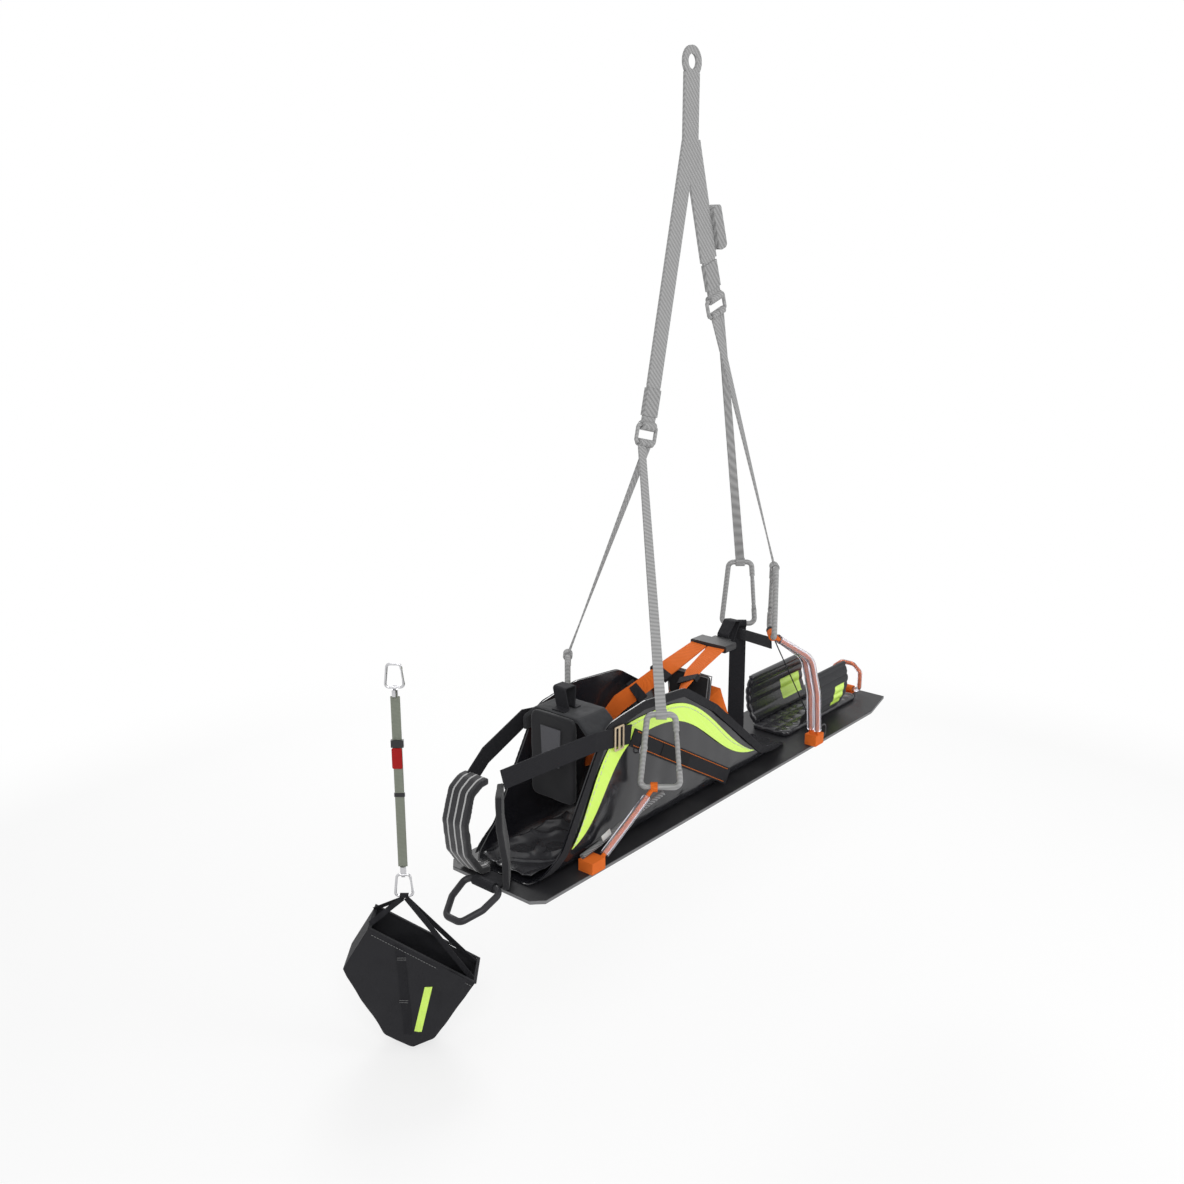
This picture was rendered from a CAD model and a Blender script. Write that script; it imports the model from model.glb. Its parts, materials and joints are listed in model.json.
"""Looks of the rescue stretcher: cloth, padding, webbing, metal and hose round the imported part."""

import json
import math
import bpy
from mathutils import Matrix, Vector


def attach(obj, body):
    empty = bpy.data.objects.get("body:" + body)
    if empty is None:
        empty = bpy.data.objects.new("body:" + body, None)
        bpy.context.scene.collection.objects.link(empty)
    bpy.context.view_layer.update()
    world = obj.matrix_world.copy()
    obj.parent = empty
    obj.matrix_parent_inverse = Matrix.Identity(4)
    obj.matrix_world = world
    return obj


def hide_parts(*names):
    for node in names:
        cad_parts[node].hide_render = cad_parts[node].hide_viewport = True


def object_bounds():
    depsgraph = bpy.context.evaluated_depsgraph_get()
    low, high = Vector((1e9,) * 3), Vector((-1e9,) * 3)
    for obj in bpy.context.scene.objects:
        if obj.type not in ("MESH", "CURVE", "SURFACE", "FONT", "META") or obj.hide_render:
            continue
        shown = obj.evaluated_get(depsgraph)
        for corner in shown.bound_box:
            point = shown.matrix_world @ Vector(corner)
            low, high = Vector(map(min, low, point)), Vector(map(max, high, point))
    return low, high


bl_info = {
    "name": "Rescue Stretcher Looks",
    "version": (1, 0, 0),
    "blender": (4, 5, 0),
    "location": "View3D > Sidebar > Stretcher",
    "description": "Dresses the rescue stretcher with cloth, padding, webbing, metal and hose",
    "category": "Object",
}

import bmesh
import bpy
from mathutils import Vector, noise

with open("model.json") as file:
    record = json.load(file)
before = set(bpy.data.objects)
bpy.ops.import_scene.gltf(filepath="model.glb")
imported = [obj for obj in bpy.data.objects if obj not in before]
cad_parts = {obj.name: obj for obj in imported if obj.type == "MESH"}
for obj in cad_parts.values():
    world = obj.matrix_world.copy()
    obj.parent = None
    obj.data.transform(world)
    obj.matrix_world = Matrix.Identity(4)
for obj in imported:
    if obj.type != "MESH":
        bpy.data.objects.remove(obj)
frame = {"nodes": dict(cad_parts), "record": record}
cad_box = [list(corner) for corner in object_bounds()]

MM = 0.001
EYE_X, EYE_Z = 673.0, 1700.0
BAG_X, BAG_Y = 215.0, 540.0
FLOOR_GAP, FLOOR_HALF, FLOOR_GLOW = 0.03, 14.0, 0.7
LAMPS = (("Key", (-3.2, -2.6, 1.4), 110, 2.2),
         ("Rim", (2.2, 2.8, 0.8), 75, 2.0),
         ("Side", (1.8, -3.2, -0.4), 40, 2.0))
FACING = math.radians(-49.7)
BODY_OF = {node: body for body, group in frame["record"]["behaviour"]["bodies"].items() for node in group}


def at(x, y, z):
    """A point given in millimetres from the board's head end, in the frame's metres."""
    return Vector(((x - EYE_X) * MM, y * MM, (z - EYE_Z) * MM))


def bag_point(across, high, out=0.0):
    """A point in the foot bag's own upright plane, in millimetres."""
    side = Vector((math.cos(FACING), math.sin(FACING), 0.0))
    front = Vector((math.sin(FACING), -math.cos(FACING), 0.0))
    return at(BAG_X, BAG_Y, high) + side * across * MM + front * out * MM


class StretcherSettings(bpy.types.PropertyGroup):
    orange: bpy.props.FloatVectorProperty(
        name="Harness webbing", description="Colour of the harness webbing",
        default=(0.84, 0.17, 0.02), size=3, min=0, max=1, subtype="COLOR")
    neon: bpy.props.FloatVectorProperty(
        name="Reflective tape", description="Colour of the prismatic reflective tape",
        default=(0.58, 0.9, 0.02), size=3, min=0, max=1, subtype="COLOR")
    tarpaulin: bpy.props.FloatVectorProperty(
        name="Tarpaulin", description="Colour of the wrap's tarpaulin",
        default=(0.009, 0.009, 0.012), size=3, min=0, max=1, subtype="COLOR")
    board: bpy.props.FloatVectorProperty(
        name="Board", description="Colour of the base board",
        default=(0.014, 0.014, 0.016), size=3, min=0, max=1, subtype="COLOR")
    bridle: bpy.props.FloatVectorProperty(
        name="Bridle", description="Colour of the lifting bridle",
        default=(0.25, 0.25, 0.25), size=3, min=0, max=1, subtype="COLOR")
    wrinkle: bpy.props.FloatProperty(
        name="Wrinkle depth", description="Depth of the folds in the tarpaulin",
        default=0.0075, min=0, max=0.01, unit="LENGTH")
    quilt_pitch: bpy.props.FloatProperty(
        name="Quilt pitch", description="Distance between two sewn channels",
        default=0.024, min=0.01, max=0.08, unit="LENGTH")
    stitch: bpy.props.FloatProperty(
        name="Stitch length", description="Length of one stitch",
        default=0.005, min=0.001, max=0.02, unit="LENGTH")


# Shared effects


def new_group(name, inputs):
    """An empty node group with named inputs, and Colour, Value and Height outputs."""
    group = bpy.data.node_groups.new(name, "ShaderNodeTree")
    for title, kind, default in inputs:
        socket = group.interface.new_socket(name=title, in_out="INPUT", socket_type=kind)
        socket.default_value = default
    given_out = (("Colour", "NodeSocketColor"), ("Value", "NodeSocketFloat"), ("Height", "NodeSocketFloat"))
    for title, kind in given_out:
        group.interface.new_socket(name=title, in_out="OUTPUT", socket_type=kind)
    return group, group.nodes.new("NodeGroupInput"), group.nodes.new("NodeGroupOutput")


def math_node(tree, operation, first, second=None, third=None):
    node = tree.nodes.new("ShaderNodeMath")
    node.operation = operation
    for socket, value in zip(node.inputs, (first, second, third)):
        if value is None:
            continue
        if isinstance(value, (int, float)):
            socket.default_value = value
        else:
            tree.links.new(value, socket)
    return node.outputs[0]


def mix_colour(tree, share, first, second, blend="MIX"):
    node = tree.nodes.new("ShaderNodeMix")
    node.data_type = "RGBA"
    node.blend_type = blend
    for socket, value in ((node.inputs[0], share), (node.inputs[6], first), (node.inputs[7], second)):
        if isinstance(value, (int, float)):
            socket.default_value = value
        elif isinstance(value, tuple):
            socket.default_value = value
        else:
            tree.links.new(value, socket)
    return node.outputs[2]


def coordinates(tree):
    return tree.nodes.new("ShaderNodeTexCoord").outputs["Object"]


def seen_rays(tree):
    """1 for what the camera sees, straight, in a reflection or through glass."""
    rays = tree.nodes.new("ShaderNodeLightPath")
    bent = math_node(tree, "MAXIMUM", rays.outputs["Is Glossy Ray"], rays.outputs["Is Transmission Ray"])
    return math_node(tree, "MAXIMUM", rays.outputs["Is Camera Ray"], bent)


def waves(tree, where, direction, scale, distortion=0.0):
    node = tree.nodes.new("ShaderNodeTexWave")
    node.wave_type = "BANDS"
    node.bands_direction = direction
    node.inputs["Distortion"].default_value = distortion
    tree.links.new(where, node.inputs["Vector"])
    if isinstance(scale, (int, float)):
        node.inputs["Scale"].default_value = scale
    else:
        tree.links.new(scale, node.inputs["Scale"])
    return node.outputs["Fac"]


def clouds(tree, where, scale, detail=3.0, rough=0.55):
    node = tree.nodes.new("ShaderNodeTexNoise")
    node.inputs["Detail"].default_value = detail
    node.inputs["Roughness"].default_value = rough
    tree.links.new(where, node.inputs["Vector"])
    if isinstance(scale, (int, float)):
        node.inputs["Scale"].default_value = scale
    else:
        tree.links.new(scale, node.inputs["Scale"])
    return node.outputs["Fac"]


def make_groups():
    """Weave, grain, prisms, hatch and brushed metal, each built once."""
    groups = {}
    colour = ("Colour", "NodeSocketColor", (0.5, 0.5, 0.5, 1))
    scale = ("Scale", "NodeSocketFloat", 100.0)
    amount = ("Amount", "NodeSocketFloat", 0.5)

    tree, given, result = new_group("Weave", [colour, scale, amount])
    where = coordinates(tree)
    upright = waves(tree, where, "Z", given.outputs["Scale"], 0.3)
    slanting = waves(tree, where, "DIAGONAL", given.outputs["Scale"], 0.3)
    threads = math_node(tree, "MULTIPLY_ADD", upright, 0.5, math_node(tree, "MULTIPLY", slanting, 0.5))
    soil = clouds(tree, where, 14.0)
    dark = mix_colour(tree, 1.0, given.outputs["Colour"], (0.55, 0.55, 0.55, 1), "MULTIPLY")
    raised = math_node(tree, "MULTIPLY_ADD", threads, 0.8, 0.2)
    woven = mix_colour(tree, raised, dark, given.outputs["Colour"])
    lighter = mix_colour(tree, 1.0, woven, (1.35, 1.35, 1.35, 1), "MULTIPLY")
    shade = math_node(tree, "MULTIPLY", soil, given.outputs["Amount"])
    tree.links.new(mix_colour(tree, shade, woven, lighter), result.inputs["Colour"])
    tree.links.new(math_node(tree, "MULTIPLY_ADD", threads, -0.15, 0.9), result.inputs["Value"])
    tree.links.new(threads, result.inputs["Height"])
    groups["weave"] = tree

    tree, given, result = new_group("Grain", [colour, scale, amount])
    where = coordinates(tree)
    fine = clouds(tree, where, given.outputs["Scale"], 5.0, 0.6)
    wide = clouds(tree, where, 9.0, 3.0)
    pale = mix_colour(tree, 1.0, given.outputs["Colour"], (0.06, 0.06, 0.058, 1), "ADD")
    worn = math_node(tree, "MULTIPLY", math_node(tree, "POWER", wide, 3.0), given.outputs["Amount"])
    tree.links.new(mix_colour(tree, worn, given.outputs["Colour"], pale), result.inputs["Colour"])
    tree.links.new(math_node(tree, "MULTIPLY_ADD", wide, 0.35, -0.1), result.inputs["Value"])
    tree.links.new(math_node(tree, "MULTIPLY_ADD", wide, 0.5, fine), result.inputs["Height"])
    groups["grain"] = tree

    tree, given, result = new_group("Prisms", [colour, scale, amount])
    where = coordinates(tree)
    cells = tree.nodes.new("ShaderNodeTexVoronoi")
    cells.inputs["Randomness"].default_value = 0.25
    tree.links.new(where, cells.inputs["Vector"])
    tree.links.new(given.outputs["Scale"], cells.inputs["Scale"])
    walls = waves(tree, where, "DIAGONAL", 26.0)
    bright = mix_colour(tree, 0.3, given.outputs["Colour"], (0.92, 1.0, 0.62, 1))
    lit = math_node(tree, "MULTIPLY", cells.outputs["Distance"], given.outputs["Amount"])
    tiled = mix_colour(tree, lit, given.outputs["Colour"], bright)
    seams = math_node(tree, "LESS_THAN", walls, 0.06)
    welded = mix_colour(tree, math_node(tree, "MULTIPLY", seams, 0.35), tiled, bright)
    tree.links.new(welded, result.inputs["Colour"])
    dulled = math_node(tree, "MULTIPLY_ADD", cells.outputs["Distance"], 0.3, 0.16)
    tree.links.new(dulled, result.inputs["Value"])
    tree.links.new(cells.outputs["Distance"], result.inputs["Height"])
    groups["prisms"] = tree

    tree, given, result = new_group("Hatch", [colour, scale, amount])
    where = coordinates(tree)
    lines = waves(tree, where, "DIAGONAL", given.outputs["Scale"], 0.4)
    cross = waves(tree, where, "Z", 90.0, 0.2)
    light = mix_colour(tree, 1.0, given.outputs["Colour"], (0.2, 0.2, 0.2, 1), "ADD")
    share = math_node(tree, "MULTIPLY", lines, given.outputs["Amount"])
    tree.links.new(mix_colour(tree, share, given.outputs["Colour"], light), result.inputs["Colour"])
    tree.links.new(math_node(tree, "MULTIPLY_ADD", lines, 0.2, 0.6), result.inputs["Value"])
    tree.links.new(math_node(tree, "MULTIPLY_ADD", cross, 0.4, lines), result.inputs["Height"])
    groups["hatch"] = tree

    tree, given, result = new_group("Brushed", [colour, scale, amount])
    where = coordinates(tree)
    stretch = tree.nodes.new("ShaderNodeMapping")
    stretch.inputs["Scale"].default_value = (1, 1, 12)
    tree.links.new(where, stretch.inputs["Vector"])
    lines = clouds(tree, stretch.outputs[0], given.outputs["Scale"], 4.0)
    marks = clouds(tree, where, 30.0, 4.0)
    dull = mix_colour(tree, 1.0, given.outputs["Colour"], (0.72, 0.72, 0.74, 1), "MULTIPLY")
    tree.links.new(mix_colour(tree, marks, given.outputs["Colour"], dull), result.inputs["Colour"])
    wear = math_node(tree, "MULTIPLY", lines, given.outputs["Amount"])
    base = math_node(tree, "MULTIPLY_ADD", wear, 0.3, 0.12)
    tree.links.new(math_node(tree, "MULTIPLY_ADD", marks, 0.18, base), result.inputs["Value"])
    tree.links.new(lines, result.inputs["Height"])
    groups["brushed"] = tree
    return groups


def finish(name, group, colour, scale, amount, relief=0.3, depth=0.0006, rough=None, metal=0.0, coat=0.0,
           sheen=0.0, clear=0.0, stripes=None, shine=0.22):
    """A material: one shared effect feeding a Principled shader."""
    material = bpy.data.materials.new(name)
    material.use_nodes = True
    tree = material.node_tree
    shader = tree.nodes["Principled BSDF"]
    effect = tree.nodes.new("ShaderNodeGroup")
    effect.node_tree = group
    effect.inputs["Colour"].default_value = (*colour, 1)
    effect.inputs["Scale"].default_value = scale
    effect.inputs["Amount"].default_value = amount
    shown = effect.outputs["Colour"]
    if stripes:
        axis, places, half, stripe_colour = stripes
        parts = tree.nodes.new("ShaderNodeSeparateXYZ")
        tree.links.new(coordinates(tree), parts.inputs[0])
        mask = None
        for place in places:
            hit = math_node(tree, "COMPARE", parts.outputs[axis], place, half)
            mask = hit if mask is None else math_node(tree, "MAXIMUM", mask, hit)
        shown = mix_colour(tree, mask, shown, (*stripe_colour, 1))
    tree.links.new(shown, shader.inputs["Base Color"])
    if rough is None:
        tree.links.new(effect.outputs["Value"], shader.inputs["Roughness"])
    else:
        varied = math_node(tree, "MULTIPLY_ADD", effect.outputs["Value"], 0.35, rough)
        tree.links.new(varied, shader.inputs["Roughness"])
    shader.inputs["Metallic"].default_value = metal
    shader.inputs["Coat Weight"].default_value = coat
    shader.inputs["Coat Roughness"].default_value = 0.12
    shader.inputs["Specular IOR Level"].default_value = 0.5 if metal or clear else shine
    shader.inputs["Sheen Weight"].default_value = sheen
    shader.inputs["Transmission Weight"].default_value = clear
    if clear:
        shader.inputs["IOR"].default_value = 1.42
    bump = tree.nodes.new("ShaderNodeBump")
    bump.inputs["Strength"].default_value = relief
    bump.inputs["Distance"].default_value = depth
    tree.links.new(effect.outputs["Height"], bump.inputs["Height"])
    tree.links.new(bump.outputs[0], shader.inputs["Normal"])
    return material


def make_finishes(s):
    """Every finish of the object, by the record's slot names and a few more."""
    g = make_groups()
    weave, grain, prisms, hatch, brushed = (g[k] for k in ("weave", "grain", "prisms", "hatch", "brushed"))
    far_stripes = ("Y", [0.046, 0.066, 0.086], 0.0022, (0.42, 0.42, 0.42))
    return {
        "board": finish("Board", grain, tuple(s.board), 320, 0.9, 0.25, rough=0.42),
        "board_edge": finish("Board Edge", grain, (0.16, 0.16, 0.165), 500, 1.0, 0.5, rough=0.55),
        "tarpaulin": finish("Tarpaulin", grain, tuple(s.tarpaulin), 260, 0.5, 0.22, rough=0.16, shine=0.55),
        "binding": finish("Binding Tape", weave, (0.022, 0.022, 0.025), 150, 0.4, 0.8, 0.001, rough=0.5),
        "reflective": finish("Reflective Tape", prisms, tuple(s.neon), 420, 1.3, 0.7, coat=0.4, shine=0.4),
        "quilt": finish("Quilted Cloth", grain, (0.02, 0.02, 0.024), 300, 0.5, 0.35, rough=0.2, shine=0.55),
        "textile": finish("Charcoal Textile", weave, (0.032, 0.033, 0.036), 160, 0.7, 0.6,
                          rough=0.6, sheen=0.1),
        "velour": finish("Velour", grain, (0.01, 0.01, 0.012), 700, 0.5, 0.8, rough=0.8, sheen=0.15),
        "striped_velour": finish("Striped Velour", grain, (0.02, 0.02, 0.023), 700, 0.5, 0.8, rough=0.8,
                                 sheen=0.3, stripes=far_stripes),
        "black_webbing": finish("Black Webbing", weave, (0.016, 0.016, 0.019), 170, 0.5, 0.9, 0.001,
                                rough=0.5),
        "champagne_metal": finish("Champagne Metal", brushed, (0.72, 0.58, 0.4), 60, 0.6, 0.15, metal=1.0),
        "steel": finish("Steel", brushed, (0.66, 0.66, 0.67), 60, 0.5, 0.1, metal=1.0),
        "orange_webbing": finish("Orange Webbing", weave, tuple(s.orange), 170, 0.4, 0.9, 0.001, rough=0.5),
        "orange_stitch": finish("Orange Thread", weave, (0.9, 0.22, 0.03), 600, 0.2, 0.3, rough=0.5),
        "black_plastic": finish("Moulded Plastic", grain, (0.02, 0.02, 0.022), 500, 0.4, 0.2,
                                rough=0.34, shine=0.35),
        "grey_webbing": finish("Bridle Webbing", hatch, tuple(s.bridle), 52, 0.55, 0.5, rough=0.5),
        "grey_metal": finish("Bridle Metal", hatch, tuple(s.bridle), 60, 0.45, 0.12, rough=0.26, coat=0.2),
        "grey_cover": finish("Bridle Cover", hatch, tuple(0.9 * c for c in s.bridle), 44, 0.6, 0.5,
                             rough=0.5),
        "clear_hose": finish("Clear Hose", grain, (0.9, 0.88, 0.95), 90, 0.2, 0.06, rough=0.05, clear=0.92),
        "woven_cord": finish("Woven Cord", hatch, (0.03, 0.03, 0.032), 95, 1.8, 0.6, rough=0.5),
        "drag_sleeve": finish("Loop Sleeve", grain, (0.02, 0.02, 0.023), 220, 0.6, 0.5, rough=0.4),
        "lanyard_webbing": finish("Lanyard Webbing", weave, (0.27, 0.29, 0.24), 170, 0.5, 0.9, 0.001,
                                  rough=0.55),
        "red_tab": finish("Red Tab", weave, (0.42, 0.012, 0.012), 170, 0.4, 0.8, rough=0.5),
        "bag_cloth": finish("Bag Cloth", weave, (0.02, 0.02, 0.023), 220, 0.4, 0.5, rough=0.42),
        "lining": finish("Inner Cloth", grain, (0.03, 0.03, 0.034), 240, 0.5, 0.3, rough=0.22, shine=0.5),
        "piping": finish("Piping", weave, (0.2, 0.2, 0.205), 300, 0.4, 0.5, rough=0.5),
        "grey_flap": finish("Grey Flap", weave, (0.11, 0.11, 0.12), 220, 0.5, 0.5, rough=0.6),
        "pale_thread": finish("Pale Thread", weave, (0.72, 0.72, 0.7), 600, 0.3, 0.3, rough=0.5),
        "patch": finish("Bare Patch", weave, (0.008, 0.008, 0.009), 260, 0.5, 0.5, rough=0.5),
        "grey_thread": finish("Grey Thread", weave, (0.25, 0.25, 0.25), 600, 0.3, 0.3, rough=0.5),
    }


# Mesh helpers


def new_piece(name, verts, faces, material, body, smooth=True):
    mesh = bpy.data.meshes.new(name)
    mesh.from_pydata([tuple(v) for v in verts], [], faces)
    piece = bpy.data.objects.new(name, mesh)
    bpy.context.scene.collection.objects.link(piece)
    shape = bmesh.new()
    shape.from_mesh(mesh)
    bmesh.ops.recalc_face_normals(shape, faces=shape.faces)
    shape.to_mesh(mesh)
    shape.free()
    for face in mesh.polygons:
        face.use_smooth = smooth
    mesh.materials.append(finishes[material])
    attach(piece, body)
    return piece


def copied(node, name):
    """A loose copy of a CAD node's mesh, with its doubled vertices joined."""
    mesh = frame["nodes"][node].data.copy()
    mesh.materials.clear()
    piece = bpy.data.objects.new(name, mesh)
    bpy.context.scene.collection.objects.link(piece)
    shape = bmesh.new()
    shape.from_mesh(mesh)
    bmesh.ops.remove_doubles(shape, verts=shape.verts, dist=2e-6)
    shape.to_mesh(mesh)
    shape.free()
    return piece


def applied(piece):
    """The piece with its modifiers applied."""
    bpy.context.view_layer.update()
    graph = bpy.context.evaluated_depsgraph_get()
    mesh = bpy.data.meshes.new_from_object(piece.evaluated_get(graph))
    old = piece.data
    piece.modifiers.clear()
    piece.data = mesh
    bpy.data.meshes.remove(old)
    return piece


def dressed(piece, node, material):
    """The piece takes the node's place, body and slot."""
    mesh = piece.data
    mesh.materials.clear()
    mesh.materials.append(finishes[material])
    for kept in ("custom_normal", "sharp_edge", "sharp_face"):
        if kept in mesh.attributes:
            mesh.attributes.remove(mesh.attributes[kept])
    for face in mesh.polygons:
        face.use_smooth = True
    mesh.set_sharp_from_angle(angle=math.radians(48))
    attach(piece, BODY_OF[node])
    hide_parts(node)
    return piece


def stuffed(node, name, material, voxel, swell):
    """A padded piece: the node's form remeshed and eased, then each point moved by swell(point, normal)."""
    piece = copied(node, name)
    remesh = piece.modifiers.new("Cells", "REMESH")
    remesh.mode = "VOXEL"
    remesh.voxel_size = voxel
    ease = piece.modifiers.new("Ease", "SMOOTH")
    ease.factor = 0.5
    ease.iterations = 3
    applied(piece)
    mesh = piece.data
    normals = [Vector(v.normal) for v in mesh.vertices]
    for v, n in zip(mesh.vertices, normals):
        v.co = v.co + n * swell(v.co, n)
    dressed(piece, node, material)
    return piece


def draped(node, name, material, edge, field):
    """A cloth piece: the node's own skin cut into small faces, each point moved by field(point)."""
    piece = copied(node, name)
    shape = bmesh.new()
    shape.from_mesh(piece.data)
    for _ in range(7):
        long_edges = [e for e in shape.edges if e.calc_length() > edge]
        if not long_edges:
            break
        bmesh.ops.subdivide_edges(shape, edges=long_edges, cuts=1, use_grid_fill=True)
        bmesh.ops.triangulate(shape, faces=[f for f in shape.faces if len(f.verts) > 3])
    for v in shape.verts:
        v.co = v.co + field(v.co)
    shape.to_mesh(piece.data)
    shape.free()
    return dressed(piece, node, material)


def ridge(value, pitch):
    """0 in a sewn channel, 1 on the crown between two."""
    return abs(math.sin(math.pi * value / pitch)) ** 0.6


def cloth_noise(point, scale, seed=0.0):
    return noise.noise(Vector((point[0] * scale + seed, point[1] * scale, point[2] * scale)))


def tube_mesh(points, radius, sides=8):
    """Vertices and faces of a round tube along points."""
    verts, faces = [], []
    count = len(points)
    last = None
    for i, p in enumerate(points):
        run = (points[min(i + 1, count - 1)] - points[max(i - 1, 0)]).normalized()
        up = last if last is not None else (Vector((0, 0, 1)) if abs(run.z) < 0.9 else Vector((1, 0, 0)))
        side = run.cross(up).normalized()
        up = side.cross(run).normalized()
        last = up
        for k in range(sides):
            a = 2 * math.pi * k / sides
            verts.append(p + side * math.cos(a) * radius + up * math.sin(a) * radius)
    for i in range(count - 1):
        for k in range(sides):
            a, b = i * sides + k, i * sides + (k + 1) % sides
            faces.append((a, b, b + sides, a + sides))
    faces.append(tuple(range(sides))[::-1])
    faces.append(tuple((count - 1) * sides + k for k in range(sides)))
    return verts, faces


def stitch_mesh(points, length, width=0.0009, gap=0.6):
    """Short raised stitches along a line, as one mesh."""
    verts, faces = [], []
    for a, b in zip(points, points[1:]):
        span = (b - a).length
        count = max(1, int(span / (length * (1 + gap))))
        for i in range(count):
            start = a.lerp(b, i / count)
            end = a.lerp(b, (i + 1 / (1 + gap)) / count)
            part_verts, part_faces = tube_mesh([start, end], width, 5)
            base = len(verts)
            verts += part_verts
            faces += [tuple(base + n for n in face) for face in part_faces]
    return verts, faces


def stitched(name, lines, material, body, length):
    verts, faces = [], []
    for line in lines:
        part_verts, part_faces = stitch_mesh(line, length)
        base = len(verts)
        verts += part_verts
        faces += [tuple(base + n for n in face) for face in part_faces]
    return new_piece(name, verts, faces, material, body)


def plate(name, corners, lift, thickness, material, body, cells=6, field=None):
    """A thin patch through four corners, raised off what it is sewn to by lift along its normal."""
    a, b, c, d = corners
    face_normal = (b - a).cross(d - a).normalized()
    verts, faces = [], []
    for side in (0, 1):
        for i in range(cells + 1):
            for j in range(cells + 1):
                p = a.lerp(b, i / cells).lerp(d.lerp(c, i / cells), j / cells)
                if field:
                    p = p + field(p)
                verts.append(p + face_normal * (lift + side * thickness))
    row = cells + 1
    layer = row * row
    for side in (0, 1):
        for i in range(cells):
            for j in range(cells):
                k = side * layer + i * row + j
                faces.append((k, k + 1, k + row + 1, k + row))
    edge = [i * row for i in range(row)] + [(row - 1) * row + j for j in range(1, row)]
    edge += [i * row + row - 1 for i in range(row - 2, -1, -1)] + [j for j in range(row - 2, 0, -1)]
    for p, q in zip(edge, edge[1:] + edge[:1]):
        faces.append((p, q, q + layer, p + layer))
    return new_piece(name, verts, faces, material, body, smooth=False)


def painted(material_names):
    """CAD nodes that keep their own shape take their finish."""
    for node, material in material_names.items():
        shown = frame["nodes"][node]
        shown.data.materials.clear()
        shown.data.materials.append(finishes[material])


def cloth_folds(name, along, across, low, high, material, body):
    """A loose cloth lying in folds inside the wrap, with a thin closed skin, sized in millimetres."""
    rows, columns, skin = 70, 44, 1.4
    verts, faces = [], []
    for side in (0, 1):
        for i in range(rows + 1):
            for j in range(columns + 1):
                x = along[0] + (along[1] - along[0]) * i / rows
                y = across[0] + (across[1] - across[0]) * j / columns
                bend = noise.noise(Vector((x / 60, y / 38, 0.4)))
                fold = 1 - abs(math.sin(x / 26 + y / 46 + 2.4 * bend))
                lift = low + (high - low) * (0.55 * fold ** 2 + 0.45 * abs(bend))
                lift += 9 * (abs(y) / 72) ** 3
                verts.append(at(x, y, lift + side * skin))
    row = columns + 1
    layer = row * (rows + 1)
    for side in (0, 1):
        for i in range(rows):
            for j in range(columns):
                k = side * layer + i * row + j
                faces.append((k, k + 1, k + row + 1, k + row))
    edge = [i * row for i in range(rows + 1)] + [rows * row + j for j in range(1, row)]
    edge += [i * row + columns for i in range(rows - 1, -1, -1)] + list(range(columns - 1, 0, -1))
    for p, q in zip(edge, edge[1:] + edge[:1]):
        faces.append((p, q, q + layer, p + layer))
    return new_piece(name, verts, faces, material, body)


def paint_area(piece, material, inside):
    """Faces whose middle passes the test take a second finish."""
    piece.data.materials.append(finishes[material])
    number = len(piece.data.materials) - 1
    for face in piece.data.polygons:
        if inside(face.center):
            face.material_index = number


finishes = {}


def smooth_line(points, steps):
    """A soft curve through the points, given in millimetres along and up."""
    out = []
    n = len(points)
    for i in range(n - 1):
        p0, p1, p2, p3 = (points[max(0, min(n - 1, i + k))] for k in (-1, 0, 1, 2))
        for s in range(steps):
            t = s / steps
            out.append(tuple(0.5 * (2 * b + (c - a) * t + (2 * a - 5 * b + 4 * c - d) * t * t
                                    + (3 * b - a - 3 * c + d) * t ** 3)
                             for a, b, c, d in zip(p0, p1, p2, p3)))
    out.append(tuple(points[-1]))
    return out


# Operators


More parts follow.
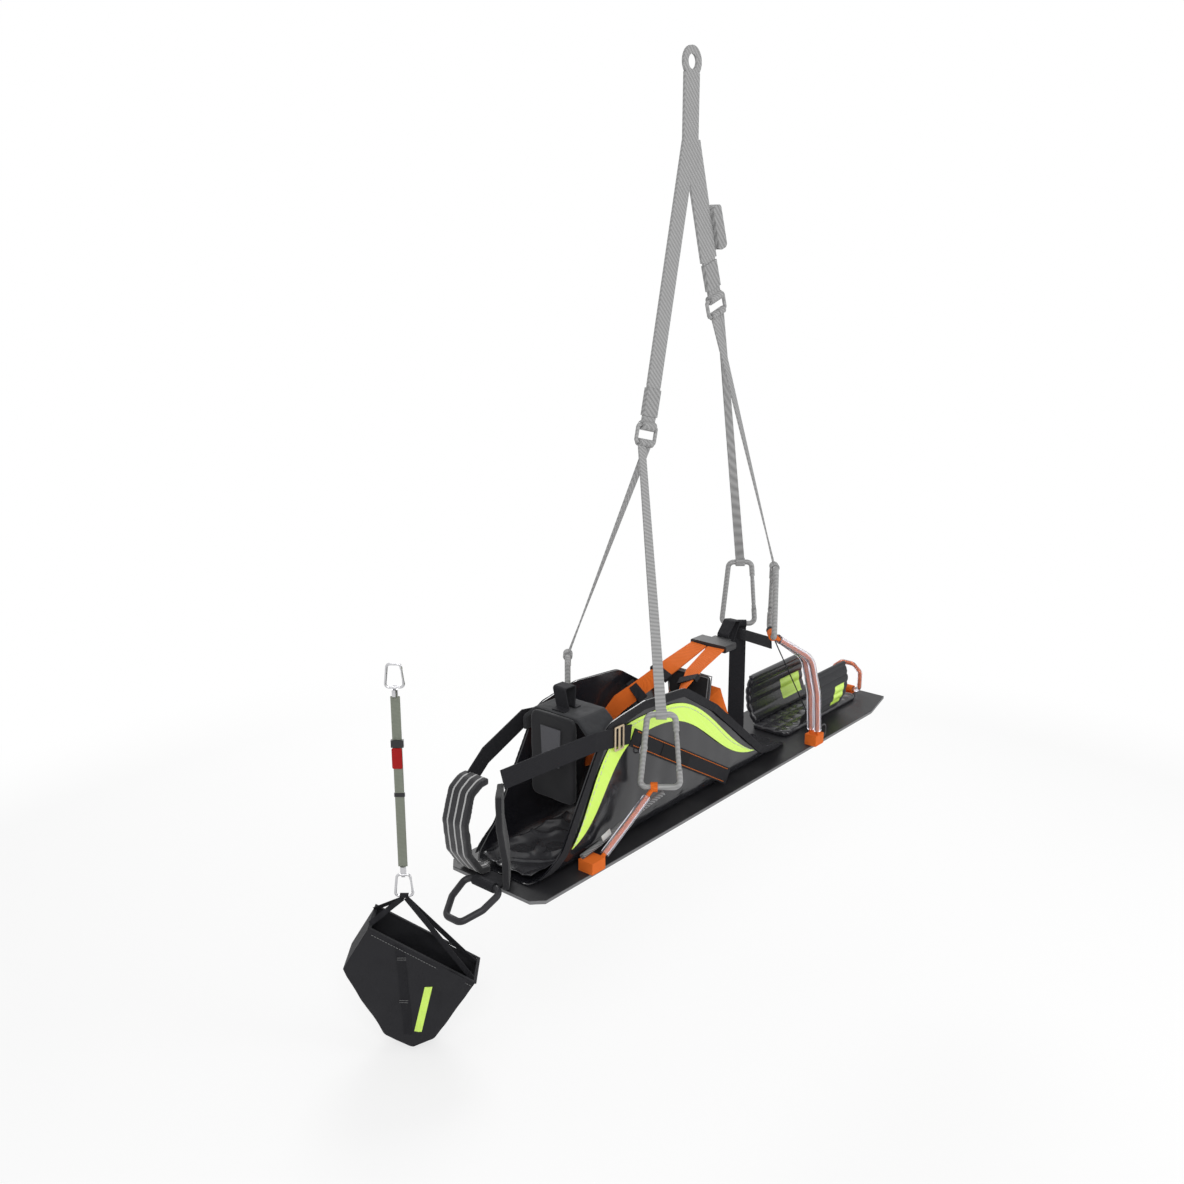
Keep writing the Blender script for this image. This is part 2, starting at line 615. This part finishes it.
class STRETCHER_OT_stage(bpy.types.Operator):
    """Camera, lamps, white backdrop and a floor that keeps the shadow"""

    bl_idname = "stretcher.stage"
    bl_label = "Stage"

    def execute(self, context):
        scene = context.scene
        camera = bpy.data.objects.new("Camera", bpy.data.cameras.new("Camera"))
        scene.collection.objects.link(camera)
        camera.location = (-2.337, -1.698, -0.376)
        look = Vector((0.7335, 0.6221, -0.2740))
        camera.rotation_euler = look.to_track_quat("-Z", "Y").to_euler()
        camera.data.lens = 37.4
        camera.data.sensor_width = 36.0
        scene.camera = camera
        scene.view_settings.view_transform = "Standard"
        world = bpy.data.worlds.new("White Room")
        scene.world = world
        world.use_nodes = True
        tree = world.node_tree
        back = tree.nodes["Background"]
        seen = seen_rays(tree)
        back.inputs["Color"].default_value = (1, 1, 1, 1)
        tree.links.new(math_node(tree, "MULTIPLY_ADD", seen, 0.5, 0.5), back.inputs["Strength"])
        middle = Vector((0, 0, -1.4))
        for name, place, power, size in LAMPS:
            lamp = bpy.data.lights.new(name, "AREA")
            lamp.energy = power
            lamp.size = size
            holder = bpy.data.objects.new(name, lamp)
            holder.location = place
            holder.rotation_euler = (middle - holder.location).to_track_quat("-Z", "Y").to_euler()
            scene.collection.objects.link(holder)
        floor_mesh = bpy.data.meshes.new("Floor")
        low = cad_box[0][2] - FLOOR_GAP
        corners = [(FLOOR_HALF * x, FLOOR_HALF * y, low) for x, y in ((-1, -1), (1, -1), (1, 1), (-1, 1))]
        floor_mesh.from_pydata(corners, [], [(0, 1, 2, 3)])
        floor = bpy.data.objects.new("Floor", floor_mesh)
        scene.collection.objects.link(floor)
        material = bpy.data.materials.new("White Floor")
        material.use_nodes = True
        tree = material.node_tree
        shader = tree.nodes["Principled BSDF"]
        shader.inputs["Base Color"].default_value = (0.93, 0.93, 0.93, 1)
        shader.inputs["Roughness"].default_value = 0.9
        shader.inputs["Specular IOR Level"].default_value = 0.0
        glow = tree.nodes.new("ShaderNodeEmission")
        glow.inputs["Color"].default_value = (1, 1, 1, 1)
        distance = tree.nodes.new("ShaderNodeVectorMath")
        distance.operation = "LENGTH"
        tree.links.new(coordinates(tree), distance.inputs[0])
        edge = tree.nodes.new("ShaderNodeMapRange")
        edge.interpolation_type = "SMOOTHSTEP"
        edge.inputs["From Min"].default_value = 2.7
        edge.inputs["From Max"].default_value = 4.2
        tree.links.new(distance.outputs["Value"], edge.inputs["Value"])
        share = math_node(tree, "MAXIMUM", edge.outputs["Result"], FLOOR_GLOW)
        far = math_node(tree, "MULTIPLY", share, seen_rays(tree))
        blend = tree.nodes.new("ShaderNodeMixShader")
        tree.links.new(far, blend.inputs[0])
        tree.links.new(shader.outputs[0], blend.inputs[1])
        tree.links.new(glow.outputs[0], blend.inputs[2])
        tree.links.new(blend.outputs[0], tree.nodes["Material Output"].inputs["Surface"])
        floor_mesh.materials.append(material)
        return {"FINISHED"}


class STRETCHER_OT_board(bpy.types.Operator):
    """Base board, foot pad, drag loop and foot handle"""

    bl_idname = "stretcher.board"
    bl_label = "Board and loops"

    def execute(self, context):
        s = context.scene.stretcher
        painted({"base_board": "board", "drag_loop": "drag_sleeve", "drag_base": "black_webbing",
                 "foot_handle": "clear_hose", "handle_base": "orange_webbing", "d_ring": "black_plastic"})
        board = frame["nodes"]["base_board"].data
        board.materials.append(finishes["board_edge"])
        for face in board.polygons:
            if abs(face.normal.z) < 0.7:
                face.material_index = 1
        pitch = s.quilt_pitch * 1.6

        def swell(p, n):
            if n.z < 0.3:
                return 0.0
            crown = ridge(p.x, pitch) * ridge(p.y + pitch / 2, pitch)
            return 0.0035 * crown - 0.001

        stuffed("foot_pad", "foot_pad_quilt", "quilt", 0.0035, swell)
        reach = [(-44, 16), (-44, 64), (-37, 77), (-20, 90.5), (0, 92)]
        reach += [(-y, z) for y, z in reversed(reach[:-1])]
        core = [at(1540, y, z) for y, z in smooth_line(reach, 6)]
        verts, faces = tube_mesh(core, 0.0038, 10)
        handle = BODY_OF["foot_handle"]
        new_piece("foot_handle_core", verts, faces, "orange_webbing", handle)
        return {"FINISHED"}


class STRETCHER_OT_wrap(bpy.types.Operator):
    """Tarpaulin wrap with folds, ribbed binding and reflective arches"""

    bl_idname = "stretcher.wrap"
    bl_label = "Wrap"

    def execute(self, context):
        s = context.scene.stretcher
        depth = s.wrinkle
        wall_low, wall_high = at(0, 0, 14).z, at(0, 0, 120).z
        head, foot = at(60, 0, 0).x, at(1060, 0, 0).x

        def field(p):
            if abs(p.y) < 0.062:
                return Vector((0, 0, 0))
            out = 1 if p.y > 0 else -1
            rise = max(0.0, min(1.0, (p.z - wall_low) / 0.03))
            low = max(0.0, min(1.0, (wall_high - p.z) / 0.09))
            along = (p.x - head) / (foot - head)
            creases = noise.noise(Vector((p.x * 16, p.z * 9 - p.x * 7, 3.0 * out)))
            folds = math.sin(p.x * 60 + 2.5 * noise.noise(Vector((p.x * 6, 0.3, p.z * 8))))
            dent = 0.5 + 0.5 * creases
            push = -depth * rise * (0.35 * dent + low * (0.4 * dent * (1 + folds) + 0.25 * abs(creases)))
            sag = -0.002 * rise * (1 - low) * (0.5 + 0.5 * math.cos(along * 9))
            return Vector((0, out * (push + sag), 0))

        wrap = draped("wrap_shell", "wrap_tarpaulin", "tarpaulin", 0.011, field)

        def ribs(p):
            out = 1 if p.y > 0 else -1
            return Vector((0, out * 0.0007 * (0.5 + 0.5 * math.sin((p.x + p.z) * 2 * math.pi / 0.004)), 0))

        lining = cloth_folds("head_lining", (52, 330), (-72, 72), 10, 22, "lining", "root")

        draped("wrap_binding", "wrap_ribbed_binding", "binding", 0.004, ribs)
        painted({"reflective_arches": "reflective"})
        outer = [(156, 62), (212, 148), (272, 242), (312, 272), (400, 284)]
        outer += [(540, 271), (642, 213), (754, 116), (852, 58)]
        lines = []
        for side in (-1, 1):
            lines.append([at(x, side * 105.4, z) for x, z in smooth_line(outer, 8)])
        stitched("arch_stitching", lines, "pale_thread", "root", s.stitch)
        return {"FINISHED"}


class STRETCHER_OT_head(bpy.types.Operator):
    """Head cap, its velour front panel, grey flap and shoulder pads"""

    bl_idname = "stretcher.head"
    bl_label = "Head cover and shoulder pads"

    def execute(self, context):
        s = context.scene.stretcher

        def textile(p, n):
            return 0.0009 * cloth_noise(p, 34) + 0.0006 * cloth_noise(p, 90)

        stuffed("head_cap", "head_cap_textile", "textile", 0.003, textile)

        def velour(p, n):
            return 0.0012 * cloth_noise(p, 26) - 0.0008

        stuffed("head_panel", "head_panel_velour", "velour", 0.003, velour)
        plate("head_flap", [at(199.6, -28, 296), at(199.6, 30, 296), at(199.6, 26, 206), at(199.6, -24, 206)],
              0.0004, 0.0025, "grey_flap", BODY_OF["head_panel"])

        def crowned(p, n):
            return 0.001 * cloth_noise(p, 40)

        stuffed("shoulder_pad_far", "shoulder_pad_far_cover", "striped_velour", 0.003, crowned)
        stuffed("shoulder_pad_near", "shoulder_pad_near_cover", "velour", 0.003, crowned)
        painted({"head_loop": "black_webbing", "shoulder_straps": "black_webbing",
                 "slide_buckles": "champagne_metal", "side_straps": "black_webbing", "strap_ring": "steel"})
        start, end = at(352, 0, 254), at(742, 0, 24)
        run = (end - start).normalized()
        rise = Vector((-run.z, 0, run.x))
        lines = []
        for side in (-1, 1):
            for edge in (-0.0165, 0.0165):
                off = rise * edge + Vector((0, side * 0.1087, 0))
                lines.append([start + run * 0.012 + off, end - run * 0.012 + off])
        stitched("side_strap_stitching", lines, "orange_stitch", "root", s.stitch)
        middle = start.lerp(end, 0.42) + Vector((0, -0.1086, 0))
        half, tall = run * 0.062, rise * 0.0145
        corners = [middle - half - tall, middle + half - tall, middle + half + tall, middle - half + tall]
        plate("side_strap_patch", corners, 0.0, 0.0012, "patch", "root")
        return {"FINISHED"}


class STRETCHER_OT_harness(bpy.types.Operator):
    """Orange harness, pelvic plate with piping and the click buckle"""

    bl_idname = "stretcher.harness"
    bl_label = "Harness"

    def execute(self, context):
        painted({"chest_straps": "orange_webbing", "strap_keepers": "black_webbing",
                 "hip_strap": "orange_webbing", "buckle_socket": "black_plastic",
                 "buckle_clip": "black_plastic", "top_loops": "black_webbing"})

        def padded_plate(p, n):
            return 0.0008 * cloth_noise(p, 40)

        stuffed("pelvic_plate", "pelvic_plate_pad", "velour", 0.003, padded_plate)
        outline = [(64, 286), (58, 226), (36, 178), (20, 178), (14, 192), (0, 198), (-14, 192), (-20, 178),
                   (-36, 178), (-58, 226), (-64, 286), (0, 287), (64, 286)]
        for number, x in enumerate((708.6, 723.4)):
            points = [at(x, y * 0.985, 232 + (z - 232) * 0.985) for y, z in outline]
            verts, faces = tube_mesh(points, 0.0016, 8)
            new_piece("pelvic_piping_%d" % number, verts, faces, "piping", "root")
        return {"FINISHED"}


class STRETCHER_OT_bridle(bpy.types.Operator):
    """Four-leg lifting bridle with its carabiners and gates"""

    bl_idname = "stretcher.bridle"
    bl_label = "Lifting bridle"

    def execute(self, context):
        looks = {"bridle_fork": "grey_webbing", "bridle_links": "grey_metal", "lower_legs": "grey_webbing",
                 "bridle_cuffs": "grey_cover", "bridle_pouch": "grey_cover"}
        for place in ("head_near", "head_far", "foot_near", "foot_far"):
            looks["carabiner_" + place] = "grey_metal"
            looks["gate_" + place] = "grey_metal"
        painted(looks)
        return {"FINISHED"}


class STRETCHER_OT_slings(bpy.types.Operator):
    """Hose slings with orange webbing inside, the woven sling and the foot straps"""

    bl_idname = "stretcher.slings"
    bl_label = "Slings and foot straps"

    def execute(self, context):
        painted({"head_sling_core": "orange_webbing", "head_sling_hose": "clear_hose",
                 "woven_sling": "woven_cord",
                 "foot_sling_cores": "orange_webbing", "foot_sling_hoses": "clear_hose",
                 "foot_straps": "black_webbing"})
        tag = [at(232, -121.5, 48), at(258, -124.0, 58), at(252, -124.0, 72), at(226, -121.5, 62)]
        plate("woven_sling_tag", tag, 0.0, 0.001, "pale_thread", "root")
        return {"FINISHED"}


class STRETCHER_OT_leg_wraps(bpy.types.Operator):
    """Quilted leg wraps with piping and reflective patches"""

    bl_idname = "stretcher.leg_wraps"
    bl_label = "Leg wraps"

    def execute(self, context):
        pitch = context.scene.stretcher.quilt_pitch

        def quilted(p, n):
            return 0.003 * ridge(p.z, pitch) - 0.001

        for node, name, material in (("leg_wrap_near", "leg_wrap_near_cover", "textile"),
                                     ("leg_wrap_far", "leg_wrap_far_cover", "quilt")):
            cover = stuffed(node, name, material, 0.003, quilted)
            low, high = at(*((1318, 0, 34) if node == "leg_wrap_near" else (1268, 0, 40))), at(1372, 0, 96)
            paint_area(cover, "reflective", lambda p: low.x < p.x < high.x and low.z < p.z < high.z)
        return {"FINISHED"}


class STRETCHER_OT_foot_bag(bpy.types.Operator):
    """Foot bag on its lanyard with two carabiners"""

    bl_idname = "stretcher.foot_bag"
    bl_label = "Foot bag"

    def execute(self, context):
        s = context.scene.stretcher
        front = Vector((math.sin(FACING), -math.cos(FACING), 0.0))
        centre = at(BAG_X, BAG_Y, 0)

        def field(p):
            out = (p - centre).dot(front)
            share = max(-1.0, min(1.0, out / 0.058))
            belly = 0.018 * noise.noise(Vector((p.x * 9, p.y * 9, p.z * 9)))
            crease = 0.009 * (0.5 - abs(noise.noise(Vector((p.x * 24, p.y * 24, p.z * 14 + p.x * 9)))))
            top = max(0.0, min(1.0, (bag_point(0, -470).z - p.z) / 0.05))
            return front * share * top * (belly + crease)

        bag = draped("foot_bag", "foot_bag_cloth", "bag_cloth", 0.012, field)
        painted({"bag_straps": "black_webbing", "bag_rim_binding": "binding",
                 "lanyard_strap": "lanyard_webbing",
                 "lanyard_fittings": "black_plastic", "pull_tab": "red_tab", "swivel_top": "steel",
                 "swivel_low": "steel", "lanyard_carabiner_top": "steel", "lanyard_gate_top": "steel",
                 "lanyard_carabiner_low": "steel", "lanyard_gate_low": "steel"})
        body = BODY_OF["foot_bag"]
        strip = [bag_point(across, high, 59) for across, high in ((52, -560), (72, -560), (40, -690), (20, -690))]
        plate("bag_reflective_strip", strip, 0.0, 0.0015, "reflective", body, 20, field)
        front_strap = [bag_point(-22, -432, 59), bag_point(2, -446, 59), bag_point(16, -700, 59),
                       bag_point(-8, -700, 59)]
        plate("bag_front_strap", front_strap, 0.0, 0.002, "black_webbing", body, 20, field)
        tacks = [[p + field(p) for p in (bag_point(-16, high, 61.6), bag_point(8, high, 61.6))]
                 for high in (-470, -476, -600, -606)]
        stitched("bag_bar_tacks", tacks, "grey_thread", body, s.stitch * 0.4)
        lines = [[bag_point(-80, -404, 59.5), bag_point(176, -556, 59.5)]]
        stitched("bag_rim_stitching", lines, "grey_thread", body, s.stitch)
        return {"FINISHED"}


STEPS = ("stage", "board", "wrap", "head", "harness", "bridle", "slings", "leg_wraps", "foot_bag")


class STRETCHER_PT_panel(bpy.types.Panel):
    """Sizes, colours and steps of the stretcher"""

    bl_idname = "STRETCHER_PT_panel"
    bl_label = "Rescue Stretcher"
    bl_space_type = "VIEW_3D"
    bl_region_type = "UI"
    bl_category = "Stretcher"

    def draw(self, context):
        settings = context.scene.stretcher
        for name in ("orange", "neon", "tarpaulin", "board", "bridle", "wrinkle", "quilt_pitch", "stitch"):
            self.layout.prop(settings, name)
        for step in STEPS:
            self.layout.operator("stretcher." + step)


CLASSES = (StretcherSettings, STRETCHER_OT_stage, STRETCHER_OT_board, STRETCHER_OT_wrap, STRETCHER_OT_head,
           STRETCHER_OT_harness, STRETCHER_OT_bridle, STRETCHER_OT_slings, STRETCHER_OT_leg_wraps,
           STRETCHER_OT_foot_bag, STRETCHER_PT_panel)


def register():
    for item in CLASSES:
        bpy.utils.register_class(item)
    bpy.types.Scene.stretcher = bpy.props.PointerProperty(type=StretcherSettings)


def unregister():
    del bpy.types.Scene.stretcher
    for item in reversed(CLASSES):
        bpy.utils.unregister_class(item)


def main():
    register()
    finishes.update(make_finishes(bpy.context.scene.stretcher))
    for step in STEPS:
        getattr(bpy.ops.stretcher, step)()


if __name__ == "__main__":
    main()
